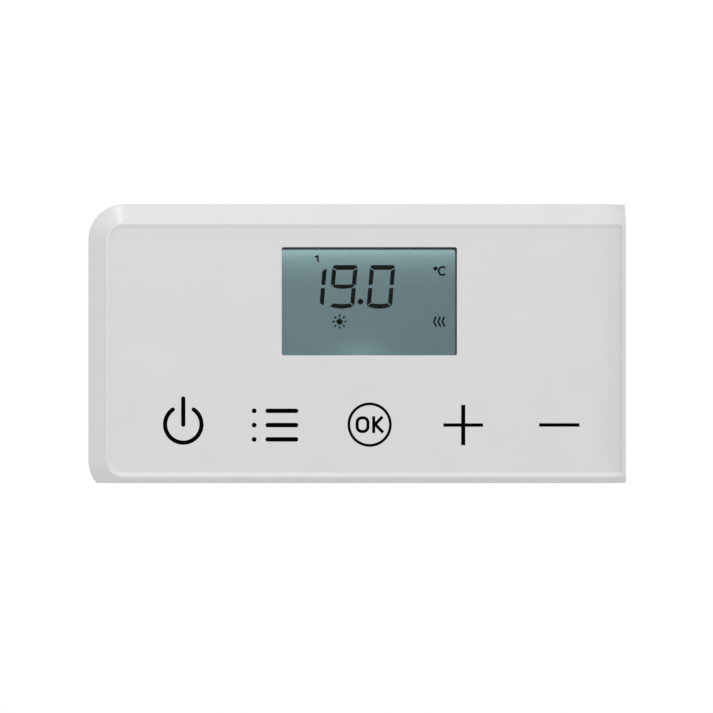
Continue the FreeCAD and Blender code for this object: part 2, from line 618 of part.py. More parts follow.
def terminal_block():
    x0, x1, z0, z1 = BLOCK
    body = round_box(x0, x1, -PLATE_T, BLOCK_FRONT, z0, z1, 0.8)
    cuts = []
    for x in POLE_X:
        cuts += [
            rod_y(x, SCREW_Z, 1.9, BLOCK_FRONT - 1, -12.9),
            rod_y(x, SCREW_Z, 1.38, BLOCK_FRONT, -12.0),
            box(x - 2.9, x + 2.9, -12.1, -3.6, -13.0, -7.3),
            rod_z(x, -6.35, 2.1, -8.0, z1 + 1),
            box(x - 1.5, x + 1.5, BLOCK_FRONT - 1, -8.8, -20.8, -13.2),
            box(x - 1.75, x + 1.75, -8.8, -7.8, -20.8, -12.9),
        ]
    for s in (-1, 1):
        cuts.append(rod_y(s * 16.0, -14.0, 0.9, 0, -9.0))
    for x in [POLE_PITCH * (i - 1) for i in range(3)]:
        cuts.append(box(x - 0.4, x + 0.4, BLOCK_FRONT - 1, BLOCK_FRONT + 0.8, z0 - 1, z1 + 1))
    return less(body, cuts)


def block_screws():
    return group(pan_screw(s * 16.0, -14.0, 1.9, 1.0, 0.85, -1.1, -8.5, 0.25) for s in (-1, 1))


def contact_forks():
    forks = []
    for x in POLE_X:
        strip = box(x - 1.6, x + 1.6, *STRIP_Y, FORK_Z[0], -7.4)
        leaves = [box(x + s * 0.5, x + s * 0.9, -14.0, -8.3, *FORK_Z) for s in (-1, 1)]
        forks.append(join([strip] + leaves))
    return group(forks)


def terminal_screw(x):
    head = rod_y(x, SCREW_Z, 1.8, -14.2, -12.95)
    slot = box(x - 2, x + 2, -15, -13.55, SCREW_Z - 0.3, SCREW_Z + 0.3)
    return join([head.cut(slot), rod_y(x, SCREW_Z, 1.3, -13.0, -8.75)])


def wire_clamp(x):
    cage = box(x - CAGE_X, x + CAGE_X, *CAGE_Y, *CAGE_Z)
    cage = cage.makeFillet(0.5, [e for e in cage.Edges if abs(e.tangentAt(0).z) > 0.99])
    window = box(x - 1.8, x + 1.8, CAGE_Y[0] + CAGE_T, CAGE_Y[1] - CAGE_T, CAGE_Z[0] - 1, CAGE_Z[1] + 1)
    return less(cage, [window, rod_y(x, SCREW_Z, 1.35, CAGE_Y[0] - 1, CAGE_Y[0] + CAGE_T + 0.1)])


# ---------------------------------------------------------------- all the pieces
def pieces():
    makers = [
        wall_plate, release_clip, clip_rivets, terminal_block, block_screws, contact_forks,
        front_cover, end_cap, front_foil, rear_housing, cover_screws,
        display_window, display_gasket, lcd_front_glass, lcd_rear_glass, light_guide, reflector,
        lcd_holder, zebra_strip, backlight_leds,
        control_board, control_board_screws, switch_bodies, switch_covers, controller_chip,
        battery_holder, clock_battery, room_sensor, board_socket, board_header,
        power_board, power_board_screws, relay, supply_capacitor, smoothing_capacitor,
        varistor, fuse, supply_inductor, contact_blades,
    ]
    made = {maker.__name__: maker() for maker in makers}
    for name, x in KEY_X.items():
        made["key_" + name] = key_pad(x)
        made["switch_stem_" + name] = switch_stem(x)
    for number, x in enumerate(POLE_X, 1):
        made[f"terminal_screw_{number}"] = terminal_screw(x)
        made[f"wire_clamp_{number}"] = wire_clamp(x)
    return made


os.makedirs("parts", exist_ok=True)
for node, shape in pieces().items():
    assert shape.isValid(), node
    shape.exportStep(f"parts/{node}.step")
    b = shape.BoundBox
    print(f"{node:22s} solids {len(shape.Solids)}  volume {shape.Volume:9.2f}  "
          f"x {b.XMin:7.2f}..{b.XMax:6.2f}  y {b.YMin:7.2f}..{b.YMax:6.2f}  z {b.ZMin:7.2f}..{b.ZMax:6.2f}")
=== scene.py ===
# %% [markdown]
# # A wall thermostat
# This lesson dresses a finished CAD model of a wall thermostat: a low white case with a display and
# five foil keys. The CAD parts keep their shape and place. Blender adds what a maker adds last: the
# printed film over the keys, the ink, the picture in the display, and every finish.

# %% Load the CAD frame
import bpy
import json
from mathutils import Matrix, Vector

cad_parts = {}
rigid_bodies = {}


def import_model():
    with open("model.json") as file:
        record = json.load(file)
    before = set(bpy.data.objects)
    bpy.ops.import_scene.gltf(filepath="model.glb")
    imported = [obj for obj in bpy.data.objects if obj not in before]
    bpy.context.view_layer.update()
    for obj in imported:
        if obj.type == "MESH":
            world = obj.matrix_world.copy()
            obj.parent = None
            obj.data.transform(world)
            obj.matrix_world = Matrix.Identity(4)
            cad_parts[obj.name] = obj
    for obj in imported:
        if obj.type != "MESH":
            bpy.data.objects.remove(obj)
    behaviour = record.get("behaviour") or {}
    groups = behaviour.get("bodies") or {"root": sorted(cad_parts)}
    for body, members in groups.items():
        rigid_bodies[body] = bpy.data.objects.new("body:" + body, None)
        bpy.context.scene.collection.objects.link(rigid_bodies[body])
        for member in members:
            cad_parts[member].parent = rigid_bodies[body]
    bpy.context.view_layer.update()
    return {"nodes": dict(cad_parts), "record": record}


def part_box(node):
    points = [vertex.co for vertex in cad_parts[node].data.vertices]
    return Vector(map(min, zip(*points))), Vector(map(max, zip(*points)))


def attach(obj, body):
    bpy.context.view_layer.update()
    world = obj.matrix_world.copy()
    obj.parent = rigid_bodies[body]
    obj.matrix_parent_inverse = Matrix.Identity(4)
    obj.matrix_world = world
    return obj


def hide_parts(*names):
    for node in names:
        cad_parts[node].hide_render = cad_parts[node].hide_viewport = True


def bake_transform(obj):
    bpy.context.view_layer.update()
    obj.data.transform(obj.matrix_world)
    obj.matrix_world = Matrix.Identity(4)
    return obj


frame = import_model()

# %% [markdown]
# ## Units and two small tools
# Every size here is written in millimetres and turned into metres by `MM`. Colours are written the way
# a designer reads them off a screen, as sRGB hex, so one function turns them into the linear values
# that a renderer adds and multiplies.

# %% Units, colours and nodes
import json
import math
import bpy
from mathutils import Vector
from mathutils.geometry import tessellate_polygon

MM = 0.001


def linear(code):
    """sRGB hex such as D9D9D9 to linear red, green, blue and alpha."""
    parts = [int(code[i:i + 2], 16) / 255 for i in (0, 2, 4)]
    return tuple(p / 12.92 if p < 0.04045 else ((p + 0.055) / 1.055) ** 2.4 for p in parts) + (1.0,)


def add(tree, kind, settings, links=()):
    """One node: settings are its options or sockets by name, links pair a socket with its source."""
    made = tree.nodes.new(kind)
    for name, value in settings.items():
        if isinstance(name, int) or name in made.inputs:
            made.inputs[name].default_value = value
        else:
            setattr(made, name, value)
    for socket, source in links:
        tree.links.new(source, made.inputs[socket])
    return made


print("white ABS in linear light:", [round(c, 3) for c in linear("EAEAEA")])

# %% [markdown]
# ## The camera
# The thermostat is seen square on, from far away, so that its sides don't show. A long lens does that
# and keeps a real camera's slight perspective. The distance follows from how wide the view is at the
# face.

# %% Camera
FACE_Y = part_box("front_foil")[0].y
VIEW_WIDTH = 142.95 * MM
AIM = Vector((-0.1 * MM, FACE_Y, -2.6 * MM))
LENS, SENSOR = 250.0, 36.0

camera = bpy.data.objects.new("camera", bpy.data.cameras.new("camera"))
bpy.context.scene.collection.objects.link(camera)
camera.data.lens, camera.data.sensor_width = LENS, SENSOR
camera.data.clip_start = 0.01
camera.location = AIM - Vector((0, VIEW_WIDTH * LENS / SENSOR, 0))
camera.rotation_euler = (math.radians(90), 0, 0)
bpy.context.scene.camera = camera
print("camera distance:", round((AIM - camera.location).length, 3), "m")

# %% [markdown]
# ## Shaping sheet-like pieces
# The film, the ink and the display's segments are all flat shapes with a little thickness. One
# function gives any set of flat faces a back and a rim, so each piece is a closed solid. A second one
# draws a line of even width, which is how an icon's strokes are made.

# %% Thin solids
ALL_OBJECTS = bpy.context.scene.collection.objects


def thin_solid(name, points, faces, depth, material, body, smooth=()):
    """Faces in points (x, y, z), in mm and seen from the front, get a back at depth and a rim."""
    count = len(points)
    back = [(x, y + depth, z) for x, y, z in points]
    edges = {(f[i], f[(i + 1) % len(f)]) for f in faces for i in range(len(f))}
    rim = [(b, a, a + count, b + count) for a, b in edges if (b, a) not in edges]
    solid = list(faces) + [tuple(i + count for i in reversed(f)) for f in faces] + sorted(rim)
    mesh = bpy.data.meshes.new(name)
    mesh.from_pydata([Vector(p) * MM for p in points + back], [], solid)
    mesh.materials.append(material)
    for number in smooth:
        mesh.polygons[number].use_smooth = True
        mesh.polygons[number + len(faces)].use_smooth = True
    corners = {frozenset(ring[:2]) for ring in rim} | {frozenset(ring[2:]) for ring in rim}
    for edge in mesh.edges:
        edge.use_edge_sharp = frozenset(edge.vertices) in corners
    made = bpy.data.objects.new(name, mesh)
    ALL_OBJECTS.link(made)
    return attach(made, body) if body else made


def facing(ring, y):
    """A ring of (x, z) as points in the plane y, and one face that looks towards the viewer."""
    turn = sum(a[0] * b[1] - b[0] * a[1] for a, b in zip(ring, ring[1:] + ring[:1]))
    ordered = ring if turn > 0 else ring[::-1]
    return [(x, y, z) for x, z in ordered], [tuple(range(len(ring)))]


def gather(shapes):
    """Several (points, faces) as one."""
    points, faces = [], []
    for more, rings in shapes:
        faces += [tuple(i + len(points) for i in ring) for ring in rings]
        points += more
    return points, faces


# %% Strokes of even width
def stroke(path, width, y, closed=False, round_ends=True):
    """A line of even width along (x, z) points, as (points, faces)."""
    path = [Vector(p) for p in path]
    count, left, right = len(path), [], []
    for i, here in enumerate(path):
        before = path[i - 1] if i or closed else here
        after = path[(i + 1) % count] if i < count - 1 or closed else here
        ways = [w.normalized() for w in (here - before, after - here) if w.length > 0]
        way = sum(ways, Vector((0, 0))).normalized()
        reach = width / 2 / max(0.5, way.dot(ways[0]))
        side = Vector((-way.y, way.x)) * reach
        left.append(here + side)
        right.append(here - side)
    if closed:
        points = [(p.x, y, p.y) for p in left + right]
        faces = [(i + count, (i + 1) % count + count, (i + 1) % count, i) for i in range(count)]
        return points, faces
    ring = right + (half_disc(path[-1], right[-1], width) if round_ends else [])
    ring += left[::-1] + (half_disc(path[0], left[0], width) if round_ends else [])
    return filled([ring], y)


def filled(rings, y):
    """Rings of (x, z) as points and triangles in the plane y. The first is the outline, the rest holes."""
    points = [(x, y, z) for ring in rings for x, z in ring]
    triangles = tessellate_polygon([[Vector((x, z, 0)) for x, z in ring] for ring in rings])
    return points, [tuple(t) if turns_left(points, t) else tuple(t[::-1]) for t in triangles]


def half_disc(middle, start, width, steps=8):
    """Points of a round end, from start to the other side, anticlockwise."""
    first = math.atan2(start.y - middle.y, start.x - middle.x)
    turns = [first + math.pi * k / steps for k in range(1, steps)]
    return [middle + Vector((math.cos(t), math.sin(t))) * width / 2 for t in turns]


def turns_left(points, triangle):
    a, b, c = (points[i] for i in triangle)
    return (b[0] - a[0]) * (c[2] - a[2]) - (c[0] - a[0]) * (b[2] - a[2]) > 0


def arc(middle, radius, start, end, steps=48):
    """Points on a circle, with angles in degrees anticlockwise from the right."""
    angles = [math.radians(start + (end - start) * k / steps) for k in range(steps + 1)]
    return [(middle[0] + radius * math.cos(t), middle[1] + radius * math.sin(t)) for t in angles]


print("tools for thin solids and strokes are ready")

# %% [markdown]
# ## Finishes
# Each finish starts from a real material. `surface` makes the shader with its constant values;
# patterns are added by the cells below. A pattern's scale is one over its real size in metres,
# because object coordinates here are metres in the row's frame.

# %% A plain start for every finish
def surface(name, colour, **settings):
    """A material and its node tree, with a Principled shader of these constant values."""
    made = bpy.data.materials.new(name)
    made.use_nodes = True
    shader = made.node_tree.nodes["Principled BSDF"]
    made.diffuse_color = linear(colour)
    shader.inputs["Base Color"].default_value = linear(colour)
    for socket, value in settings.items():
        shader.inputs[socket.replace("_", " ").title().replace("Ior", "IOR")].default_value = value
    return made, made.node_tree, shader


def per_mm(size):
    """Texture scale for a pattern that repeats every size millimetres."""
    return 1 / (size * MM)


def grain(tree, shader, size, strength, depth=0.01, stretch=(1, 1, 1)):
    """Fine relief: noise of this size in mm, at most depth mm deep."""
    place = add(tree, "ShaderNodeTexCoord", {})
    squeeze = add(tree, "ShaderNodeMapping", {"Scale": stretch}, [("Vector", place.outputs["Object"])])
    noise = add(tree, "ShaderNodeTexNoise", {"Scale": per_mm(size), "Detail": 3.0},
                [("Vector", squeeze.outputs["Vector"])])
    bump = add(tree, "ShaderNodeBump", {"Strength": strength, "Distance": depth * MM},
               [("Height", noise.outputs["Fac"])])
    tree.links.new(bump.outputs["Normal"], shader.inputs["Normal"])


def shade(tree, shader, socket, low, high, size, detail=2.0):
    """A socket that drifts between two values over patches of this size in mm."""
    place = add(tree, "ShaderNodeTexCoord", {})
    noise = add(tree, "ShaderNodeTexNoise", {"Scale": per_mm(size), "Detail": detail},
                [("Vector", place.outputs["Object"])])
    ramp = add(tree, "ShaderNodeValToRGB", {}, [("Fac", noise.outputs["Fac"])])
    ramp.color_ramp.elements[0].position, ramp.color_ramp.elements[1].position = 0.3, 0.7
    ramp.color_ramp.elements[0].color = low if isinstance(low, tuple) else (low, low, low, 1)
    ramp.color_ramp.elements[1].color = high if isinstance(high, tuple) else (high, high, high, 1)
    tree.links.new(ramp.outputs["Color"], shader.inputs[socket])


print("finishes can be mixed")

# %% [markdown]
# ### Moulded ABS
# The case is white ABS from a finely spark-eroded tool. The eye sees a soft satin with a trace of
# grain in the highlights, and edges that catch the light. The grain of a real tool is near 0.1 mm and
# a few microns deep; it is drawn at twice that size so that it shows at all.

# %% Moulded ABS finishes
def moulded_abs(name, light, dark, rough):
    made, tree, shader = surface(name, light, roughness=rough, ior=1.52)
    shade(tree, shader, "Base Color", linear(dark), linear(light), 9.0)
    shade(tree, shader, "Roughness", rough - 0.02, rough + 0.03, 6.0)
    grain(tree, shader, 0.22, 0.05, 0.002)
    return made


white_abs = moulded_abs("white moulded ABS", "EAEAEA", "E8E8E8", 0.30)
plate_abs = moulded_abs("grey moulded ABS", "C9CBCB", "C4C6C6", 0.48)
print("made", white_abs.name, "and", plate_abs.name)

# %% [markdown]
# ### Printed polyester film
# The face is one polyester film, printed on its back and very slightly textured on its front. It is
# a little greyer and more matt than the ABS round it.

# %% Film and ink
film, tree, shader = surface("printed polyester film", "E3E3E3", roughness=0.48, ior=1.5)
shade(tree, shader, "Base Color", linear("E2E2E2"), linear("E4E4E4"), 14.0)
shade(tree, shader, "Roughness", 0.47, 0.5, 8.0)
grain(tree, shader, 0.25, 0.04, 0.002)

ink, tree, shader = surface("black screen ink", "030303", roughness=0.6, specular_ior_level=0.01)
shade(tree, shader, "Base Color", linear("020202"), linear("040404"), 1.0)
grain(tree, shader, 0.2, 0.1, 0.003)
print("made", film.name, "and", ink.name)

# %% [markdown]
# ### The display's glass
# A segment display is two sheets of glass with a film of liquid crystal between them. What the eye
# reads as its colour is the light from behind, tinted blue-green by the polarisers. It comes from the
# lamps at the guide's upper edge, so it is brightest there. A ramp up the height of the glass gives
# that, and fine upright lines are the reflector's own grain.

# %% Display finishes
window_clear, tree, shader = surface("clear acrylic", "20282A", roughness=0.05, ior=1.49, alpha=0.04)
shade(tree, shader, "Roughness", 0.03, 0.07, 6.0)

glass_clear, tree, shader = surface("clear display glass", "1E2828", roughness=0.04, ior=1.52, alpha=0.03)
shade(tree, shader, "Roughness", 0.02, 0.06, 8.0)

GLASS_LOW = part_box("lcd_rear_glass")[0]
HEIGHTS = [(-2.0, "627A7E"), (5.5, "637A7F"), (11.5, "657D81"), (14.0, "6A8387"), (15.2, "708B8F"),
           (16.8, "7B989B"), (17.6, "86A5A8"), (18.4, "96B4B8")]
GLOW_X, GLOW_Z, GLOW_W, GLOW_H = 0.83, -2.73, 11.11, 6.06     # middle and reach of the lower glow


def reflector_glass(name):
    """Rear glass lit from behind: a ramp up its height, a slight fall to the right, a glow below."""
    made, tree, shader = surface(name, "202628", roughness=0.5, ior=1.5, emission_strength=1.0)
    place = add(tree, "ShaderNodeTexCoord", {})
    split = add(tree, "ShaderNodeSeparateXYZ", {}, [("Vector", place.outputs["Object"])])
    low, high = HEIGHTS[0][0], HEIGHTS[-1][0]
    height = add(tree, "ShaderNodeMapRange", {"From Min": low * MM, "From Max": high * MM},
                 [("Value", split.outputs["Z"])])
    ramp = add(tree, "ShaderNodeValToRGB", {}, [("Fac", height.outputs["Result"])])
    stops = ramp.color_ramp.elements
    for at, code in HEIGHTS[1:-1]:
        stops.new((at - low) / (high - low)).color = linear(code)
    stops[0].color, stops[len(stops) - 1].color = linear(HEIGHTS[0][1]), linear(HEIGHTS[-1][1])
    fall = add(tree, "ShaderNodeMapRange",
               {"From Min": -15 * MM, "From Max": 19 * MM, "To Min": 1.05, "To Max": 0.95},
               [("Value", split.outputs["X"])])
    near = add(tree, "ShaderNodeMapping",
               {"Scale": (1 / (GLOW_W * MM), 0, 1 / (GLOW_H * MM)),
                "Location": (-GLOW_X / GLOW_W, 0, -GLOW_Z / GLOW_H)},
               [("Vector", place.outputs["Object"])])
    glow = add(tree, "ShaderNodeTexGradient", {"gradient_type": "QUADRATIC_SPHERE"},
               [("Vector", near.outputs["Vector"])])
    warm = add(tree, "ShaderNodeMapRange", {"To Min": 1.0, "To Max": 1.58}, [("Value", glow.outputs["Fac"])])
    brushed = add(tree, "ShaderNodeMapping", {"Scale": (1, 1, 0.02)}, [("Vector", place.outputs["Object"])])
    lines = add(tree, "ShaderNodeTexNoise", {"Scale": per_mm(0.5), "Detail": 2.0},
                [("Vector", brushed.outputs["Vector"])])
    faint = add(tree, "ShaderNodeMapRange", {"To Min": 0.97, "To Max": 1.03},
                [("Value", lines.outputs["Fac"])])
    level = ramp.outputs["Color"]
    for factor in (fall, warm, faint):
        level = add(tree, "ShaderNodeVectorMath", {"operation": "SCALE"},
                    [(0, level), ("Scale", factor.outputs["Result"])]).outputs["Vector"]
    tree.links.new(level, shader.inputs["Emission Color"])
    return made


reflector_tint = reflector_glass("polarised reflector")
crystal, tree, shader = surface("dark liquid crystal", "0E0E0C", roughness=0.6, specular_ior_level=0.1)
shade(tree, shader, "Base Color", linear("0C0C0A"), linear("121210"), 2.0)
print("made", reflector_tint.name)

# %% [markdown]
# ### Rubber, foam and dark mouldings
# Foam shows small cells, silicone is smooth and greasy, and glass-filled plastic has a mottled sheen
# where fibres lie near its surface.

# %% Soft and dark finishes
# The foam's grey-blue is set to match the dark line along the display window's top and right edges, where
# the gasket shows. There it is partly painted shadow of the window's recess and partly the gasket's own
# colour.
foam, tree, shader = surface("closed-cell foam", "545F62", roughness=0.85)
place = add(tree, "ShaderNodeTexCoord", {})
cells = add(tree, "ShaderNodeTexVoronoi", {"Scale": per_mm(0.18)}, [("Vector", place.outputs["Object"])])
pits = add(tree, "ShaderNodeBump", {"Strength": 0.5, "Distance": 0.05 * MM},
           [("Height", cells.outputs["Distance"])])
tree.links.new(pits.outputs["Normal"], shader.inputs["Normal"])
# These two tones carry the same painted shadow of the window's recess.
shade(tree, shader, "Base Color", linear("4E595C"), linear("5A6669"), 0.6)


def simple_finish(name, low, high, rough, patch=2.0, size=0.2, depth=0.006, **settings):
    """A finish with drifting colour and fine relief, for the mouldings and coatings."""
    made, tree, shader = surface(name, high, roughness=rough, **settings)
    shade(tree, shader, "Base Color", linear(low), linear(high), patch)
    grain(tree, shader, size, 0.25, depth)
    return made


black_nylon = simple_finish("black glass-filled nylon", "17181A", "222326", 0.5, 0.8, 0.15, 0.01)
grey_nylon = simple_finish("grey polyamide", "8D9296", "999EA2", 0.42, 3.0, 0.2)
silicone = simple_finish("layered silicone rubber", "6F6F73", "8A8A8E", 0.6, 0.3)
acetal = simple_finish("white acetal", "DADAD6", "E2E2DE", 0.38, 4.0)
print("made foam and", [m.name for m in (black_nylon, grey_nylon, silicone, acetal)])

# %% [markdown]
# ### Metals
# Zinc-plated screws are pale with cloudy grey patches, brass is warm with drawn streaks, and the
# spring leaf is rolled steel with lines along it. Each has a higher roughness than polished metal.

# %% Metal finishes
def drawn_metal(name, low, high, rough, stretch):
    made, tree, shader = surface(name, high, roughness=rough, metallic=1.0)
    shade(tree, shader, "Base Color", linear(low), linear(high), 1.2)
    shade(tree, shader, "Roughness", rough - 0.07, rough + 0.08, 0.7)
    grain(tree, shader, 0.12, 0.25, 0.004, stretch)
    return made


zinc = drawn_metal("zinc-plated steel", "B5B8BB", "D3D6D8", 0.34, (1, 1, 1))
brass = drawn_metal("drawn brass", "C9A452", "E0C27A", 0.3, (1, 0.1, 1))
spring = drawn_metal("rolled spring steel", "8E9194", "A9ACAF", 0.36, (1, 0.06, 1))
print("made", [m.name for m in (zinc, brass, spring)])

# %% [markdown]
# ### Boards and components
# A circuit board is glass cloth in epoxy under green lacquer: the weave shows as a faint chequer and
# the copper as slightly paler lines. The components are dipped, sleeved or moulded, each in the
# colour it usually has.

# %% Electronics finishes
laminate, tree, shader = surface("lacquered glass-epoxy board", "1C5A38", roughness=0.35, ior=1.55)
place = add(tree, "ShaderNodeTexCoord", {})
tracks = add(tree, "ShaderNodeTexBrick",
             {"Scale": 1.0, "Brick Width": 7.0 * MM, "Row Height": 1.3 * MM, "Mortar Size": 0.22 * MM,
              "Color1": linear("1B5737"), "Color2": linear("205F3D"), "Mortar": linear("2F7A52")})
flat = add(tree, "ShaderNodeMapping", {"Rotation": (math.radians(90), 0, 0)},
           [("Vector", place.outputs["Object"])])
tree.links.new(flat.outputs["Vector"], tracks.inputs["Vector"])
tree.links.new(tracks.outputs["Color"], shader.inputs["Base Color"])
grain(tree, shader, 0.4, 0.15, 0.01)

relay_blue = simple_finish("blue moulded relay case", "1F4F96", "2A5CA6", 0.32, 4.0)
film_yellow = simple_finish("yellow capacitor box", "C69A2C", "D2A838", 0.45, 3.0)
sleeve = simple_finish("black shrunk sleeve", "14161C", "1E2129", 0.25, 3.0)
dipped_blue = simple_finish("blue dipped epoxy", "234E8C", "2F5D9E", 0.3, 2.0)
dipped_black = simple_finish("black dipped epoxy", "17171A", "222226", 0.25, 1.0)
ferrite = simple_finish("sintered ferrite", "2C2C2E", "3A3A3C", 0.6, 0.8, 0.1, 0.02)
guide_clear = simple_finish("frosted acrylic light guide", "DDE8EA", "E8F1F2", 0.3, 5.0)
film_white = simple_finish("white reflector film", "ECECEC", "F4F4F4", 0.55, 6.0)
lamp_white = simple_finish("white lamp package", "E4DFC8", "EFEBD8", 0.4, 1.0)
print("made", laminate.name, "and the components' coatings")

# %% [markdown]
# ## Putting the finishes on the CAD parts
# Every CAD node keeps its shape. The record names a slot for each, and this table says which finish
# that slot has here.

# %% Assign
FINISH = {
    "white_abs": white_abs, "grey_abs": plate_abs, "foil": film, "key_plastic": acetal,
    "clear_window": window_clear, "lcd_glass": glass_clear, "black_foam": foam, "silicone": silicone,
    "light_guide": guide_clear, "reflector": film_white, "black_plastic": black_nylon,
    "led_body": lamp_white, "circuit_board": laminate, "epoxy_bead": dipped_black,
    "relay_case": relay_blue, "capacitor_box": film_yellow, "capacitor_sleeve": sleeve,
    "varistor_coat": dipped_blue, "ferrite": ferrite, "terminal_plastic": grey_nylon,
    "brass": brass, "plated_steel": zinc, "spring_steel": spring,
}
for part in frame["record"]["subparts"]:
    mesh = frame["nodes"][part["node"]].data
    mesh.materials.clear()
    mesh.materials.append(FINISH[part["material_slot"]])
frame["nodes"]["lcd_rear_glass"].data.materials[0] = reflector_tint

# %% [markdown]
# ## The face film
# On the real face one film runs over the keys without a seam, and it dimples where a finger presses.
# A single stiff sheet can't do that, so the film is made of fields that meet edge to edge: the sheet,
# a pad over each key, and four bending strips round each pad. At rest they lie in one plane and read
# as one film.

# %% Film sizes, from the CAD film and the keys
FOIL_LOW, FOIL_HIGH = (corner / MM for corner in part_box("front_foil"))
FACE = round(FOIL_LOW.y, 3)
FOIL_T = 0.3
KEYS = ["power", "menu", "ok", "plus", "minus"]
PAD = (5.4, 4.6)          # half width and half height of the part that moves
BEND = 1.3                # width of the strips
ROLL_X, ROLL_Y = 47.25, -17.0     # the axis that the face rolls away about
ROLL_R = ROLL_Y - FACE
CORNER = 2.35
GAP = 0.05                # the CAD film stops this far from the frame; the dressed one meets it
WINDOW_LOW, WINDOW_HIGH = (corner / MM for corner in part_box("display_window"))
WINDOW_LAP = 1.1


def key_centre(name):
    low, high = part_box("key_" + name)
    return (low.x + high.x) / 2 / MM, (low.z + high.z) / 2 / MM


def rectangle(cx, cz, w, h):
    return [(cx - w, cz - h), (cx + w, cz - h), (cx + w, cz + h), (cx - w, cz + h)]


def rounded(x0, x1, z0, z1, radius, steps=6):
    """A rectangle with round corners, anticlockwise."""
    ring = []
    for cx, cz, start in ((x1 - radius, z0 + radius, -90), (x1 - radius, z1 - radius, 0),
                          (x0 + radius, z1 - radius, 90), (x0 + radius, z0 + radius, 180)):
        ring += arc((cx, cz), radius, start, start + 90, steps)
    return ring


print("film front at", round(FACE, 2), "mm, keys at", [round(key_centre(k)[0], 1) for k in KEYS])

# %% [markdown]
# The sheet is flat up to the line where the face rolls away, and a strip of narrow facets follows the
# roll from there. The flat part is a polygon with six holes, cut into triangles.

# %% The sheet
def rolled_field(steps=24):
    """The film from the start of the roll to its right end."""
    last = math.asin((RIGHT - ROLL_X) / ROLL_R)
    points, faces = [], []
    for k in range(steps + 1):
        turn = last * k / steps
        x, y = ROLL_X + ROLL_R * math.sin(turn), FACE + ROLL_R * (1 - math.cos(turn))
        points += [(x, y, LOW), (x, y, HIGH)]
    faces = [(2 * k, 2 * k + 2, 2 * k + 3, 2 * k + 1) for k in range(steps)]
    return points, faces


LEFT, RIGHT = FOIL_LOW.x - GAP, FOIL_HIGH.x + GAP
LOW, HIGH = FOIL_LOW.z - GAP, FOIL_HIGH.z + GAP
outline = [(ROLL_X, LOW), (ROLL_X, HIGH)]
outline += arc((LEFT + CORNER, HIGH - CORNER), CORNER, 90, 180, 16)
outline += arc((LEFT + CORNER, LOW + CORNER), CORNER, 180, 270, 16)
WINDOW = (WINDOW_LOW.x + WINDOW_LAP, WINDOW_HIGH.x - WINDOW_LAP,
          WINDOW_LOW.z + WINDOW_LAP, WINDOW_HIGH.z - WINDOW_LAP)
holes = [rounded(*WINDOW, 0.4)]
holes += [rectangle(*key_centre(k), PAD[0] + BEND, PAD[1] + BEND) for k in KEYS]
flat_part, rolled_part = filled([outline] + holes, FACE), rolled_field()
points, faces = gather([flat_part, rolled_part])
first_rolled = len(flat_part[1])
sheet = thin_solid("foil_sheet", points, faces, FOIL_T, film, "front_unit",
                   smooth=range(first_rolled, len(faces)))
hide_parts("front_foil")
print("sheet has", len(faces), "faces at the front")

# %% [markdown]
# Each pad moves with its key. A strip has rows of points from its outer to its inner edge, so that it
# can take up the curve of a dimple.

# %% Pads and bending strips
def pad(name):
    points, faces = facing(rectangle(*key_centre(name), *PAD), FACE)
    made = thin_solid("foil_pad_" + name, points, faces, FOIL_T, film, name + "_key")
    return made


def bending_strip(name, side, rows=10):
    """One of the four strips round a pad: side 0 is right, 1 is up, 2 is left and 3 is down."""
    cx, cz = key_centre(name)
    points, faces = [], []
    for k in range(rows + 1):
        grow = BEND * (1 - k / rows)
        ring = rectangle(cx, cz, PAD[0] + grow, PAD[1] + grow)
        a, b = ring[(side + 1) % 4], ring[(side + 2) % 4]
        points += [(a[0], FACE, a[1]), (b[0], FACE, b[1])]
    faces = [(2 * k, 2 * k + 1, 2 * k + 3, 2 * k + 2) for k in range(rows)]
    made = thin_solid(f"foil_bend_{name}_{side + 1}", points, faces, FOIL_T, film, None,
                      smooth=range(len(faces)))
    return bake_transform(made)


for key in KEYS:
    pad(key)
    for side in range(4):
        bending_strip(key, side)
print("film fields over", len(KEYS), "keys")

# %% [markdown]
# ## The legends
# Five generic signs are screen-printed in black: on and off, a list, a ringed OK, plus and minus. Ink
# stands about 0.02 mm proud of the film. Each sign rides on its key, as the print does. The bar of
# the power sign reaches past its pad, so its tip is a piece of its own, in rows like the strip it lies on.

# %% Signs
INK_T = 0.02
INK_Y = FACE - INK_T


def printed(name, shapes, body):
    points, faces = gather(shapes)
    return thin_solid(name, points, faces, INK_T, ink, body)


def upright(x, low, high, width, round_foot=False, round_top=False, rows=1):
    """A vertical bar with its points in rows, and a round end where asked."""
    heights = [low + (high - low) * k / rows for k in range(rows + 1)]
    right = [Vector((x + width / 2, z)) for z in heights]
    left = [Vector((x - width / 2, z)) for z in reversed(heights)]
    top = half_disc(Vector((x, high)), right[-1], width) if round_top else []
    foot = half_disc(Vector((x, low)), left[-1], width) if round_foot else []
    return facing(right + top + left + foot, INK_Y)


POWER_WIDTH = 0.84
PAD_TOP = key_centre("power")[1] + PAD[1]
TIP_REACH = 0.78          # how far the bar goes past the pad, to the middle of its round end


def power_sign(cx, cz, radius=3.65, width=POWER_WIDTH, gap=35.0):
    ring = stroke(arc((cx, cz), radius, 90 + gap, 450 - gap, 96), width, INK_Y)
    return [ring, upright(cx, cz - 0.05, PAD_TOP, width, round_foot=True)]


def list_sign(cx, cz, pitch=2.86, width=0.88):
    shapes = []
    for row in (-1, 0, 1):
        z = cz + row * pitch
        dot = arc((cx - 4.12, z), 0.48, 0, 360, 32)[:-1]
        shapes += [facing(dot, INK_Y), stroke([(cx - 1.42, z), (cx + 4.3, z)], width, INK_Y)]
    return shapes


